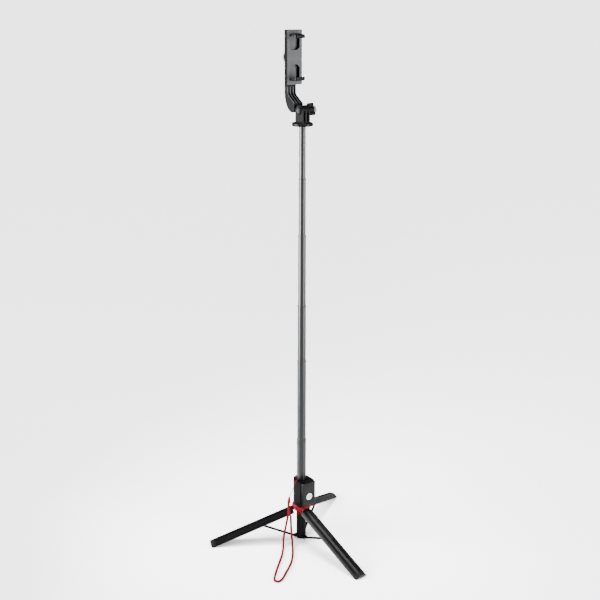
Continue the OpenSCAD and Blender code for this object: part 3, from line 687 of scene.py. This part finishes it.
def arm_path():
    """Points and outward normals down the arm's front, in the plane across X."""
    path = [(ARM_FRONT, z, -1.0, 0.0) for z in ARM_RIB_TOPS]
    arc_steps = 14
    for k in range(arc_steps + 1):
        a = math.radians(ARM_ARC_END * k / arc_steps)
        y = ARM_ARC_Y + (ARM_FRONT - ARM_ARC_Y) * math.cos(a)
        path.append((y, ARM_ARC_Z + ARM_ARC_RZ * math.sin(a), -math.cos(a), -math.sin(a)))
    y, z, ny, nz = path[-1]
    end_y, end_z = ARM_RIB_END
    steps = 5
    path += [(y + (end_y - y) * k / steps, z + (end_z - z) * k / steps, ny, nz) for k in range(1, steps + 1)]
    return path


def arm_ribs():
    """Four thin rails between the arm's grooves, grey as a painted highlight on the glossy ribs."""
    for number, x in enumerate(ARM_RIB_XS):
        rings = [[(x + across, y + ny * up, z + nz * up) for across, up in ARM_RIB_SECTION]
                 for y, z, ny, nz in arm_path()]
        verts, faces = loft(rings)
        # The rails' grey is a painted highlight on the glossy ribs.
        mesh_piece(f"arm_rib_{number}", verts, faces, PAINTED_HIGHLIGHT_AND_MARK_GREY, "arm")


arm_ribs()


# ---- Softer edges on the CAD nodes that show ----

# Millimetres.
EDGE_WIDTHS = {
    "hub_collar": 0.35, "head_base": 0.45, "arm": 0.35, "arm_cap": 0.3, "holder_front": 0.3,
    "holder_back": 0.3, "clamp_slider": 0.3, "knob": 0.5,
    "knob_cap": 0.4, "strut_front": 0.4, "strut_left": 0.4, "strut_right": 0.4, "strut_bracket": 0.3,
    "handle_front_shell": 0.5, "handle_rear_shell": 0.5, "remote_back": 0.3, "foot_front": 0.5,
    "foot_left": 0.5, "foot_right": 0.5, "leg_front": 0.3, "leg_left": 0.3, "leg_right": 0.3,
    "pivot_bolt": 0.3,
}
for soft_node, soft_width in EDGE_WIDTHS.items():
    soften(soft_node, soft_width)


# ---- Stage: a plain pale floor and soft studio light ----

FLOOR_HALF = 60.0
SKY_STRENGTH = 3.3
SKY_BRIGHT_TO = 0.02
SKY_DIM_FROM = 0.16
SKY_DIM = 0.2
SUN_STRENGTH = 9.0
SUN_SPREAD = math.radians(24)
SUN_TURN = (math.radians(-6), math.radians(4), 0)
PANEL_AWAY = 0.68
PANEL_Z = 0.72
PANEL_HEIGHT = 1.0
PANEL_SPREAD = math.radians(110)
# Each panel's place across and along the view, its width and its power.
PANELS = {"left": (-0.96, -0.28, 0.5, 46.0), "right": (0.88, -0.48, 0.26, 14.0)}


def floor():
    """A large level sheet, which isn't part of the object."""
    mesh = bpy.data.meshes.new("floor")
    size = FLOOR_HALF
    corners = [(-size, -size, 0), (size, -size, 0), (size, size, 0), (-size, size, 0)]
    mesh.from_pydata(corners, [], [(0, 1, 2, 3)])
    obj = bpy.data.objects.new("floor", mesh)
    bpy.context.collection.objects.link(obj)
    mat, _ = shader("floor", (0.97, 0.97, 0.97), 0.8, specular=0.15)
    mesh.materials.append(mat)


def sky():
    """Light from all round, bright at the horizon and dim overhead."""
    world = bpy.data.worlds.new("world")
    world.use_nodes = True
    tree = world.node_tree
    coord = tree.nodes.new("ShaderNodeTexCoord")
    parts = tree.nodes.new("ShaderNodeSeparateXYZ")
    ramp = tree.nodes.new("ShaderNodeValToRGB")
    ramp.color_ramp.elements[0].position = SKY_BRIGHT_TO
    ramp.color_ramp.elements[0].color = (1, 1, 1, 1)
    ramp.color_ramp.elements[1].position = SKY_DIM_FROM
    ramp.color_ramp.elements[1].color = (SKY_DIM, SKY_DIM, SKY_DIM, 1)
    tree.links.new(coord.outputs["Generated"], parts.inputs["Vector"])
    tree.links.new(parts.outputs["Z"], ramp.inputs["Fac"])
    tree.links.new(ramp.outputs["Color"], tree.nodes["Background"].inputs["Color"])
    tree.nodes["Background"].inputs["Strength"].default_value = SKY_STRENGTH
    bpy.context.scene.world = world


def sun():
    """A wide soft sun, almost straight above."""
    data = bpy.data.lights.new("overhead", "SUN")
    data.energy = SUN_STRENGTH
    data.angle = SUN_SPREAD
    obj = bpy.data.objects.new("overhead", data)
    obj.rotation_euler = SUN_TURN
    bpy.context.collection.objects.link(obj)


def panels():
    """Two upright panels that face the mast and draw the long highlights on it."""
    look = view_direction()
    side = Vector((look.y, -look.x, 0))
    for name, (across, along, width, power) in PANELS.items():
        data = bpy.data.lights.new(name, "AREA")
        data.shape = "RECTANGLE"
        data.size = width
        data.size_y = PANEL_HEIGHT
        data.energy = power
        data.spread = PANEL_SPREAD
        light = bpy.data.objects.new(name, data)
        bpy.context.collection.objects.link(light)
        place = PANEL_AWAY * (across * side + along * look) + Vector((0, 0, PANEL_Z))
        light.location = place
        light.rotation_mode = "QUATERNION"
        light.rotation_quaternion = (Vector((0, 0, PANEL_Z)) - place).to_track_quat("-Z", "Y")


floor()
sky()
sun()
panels()
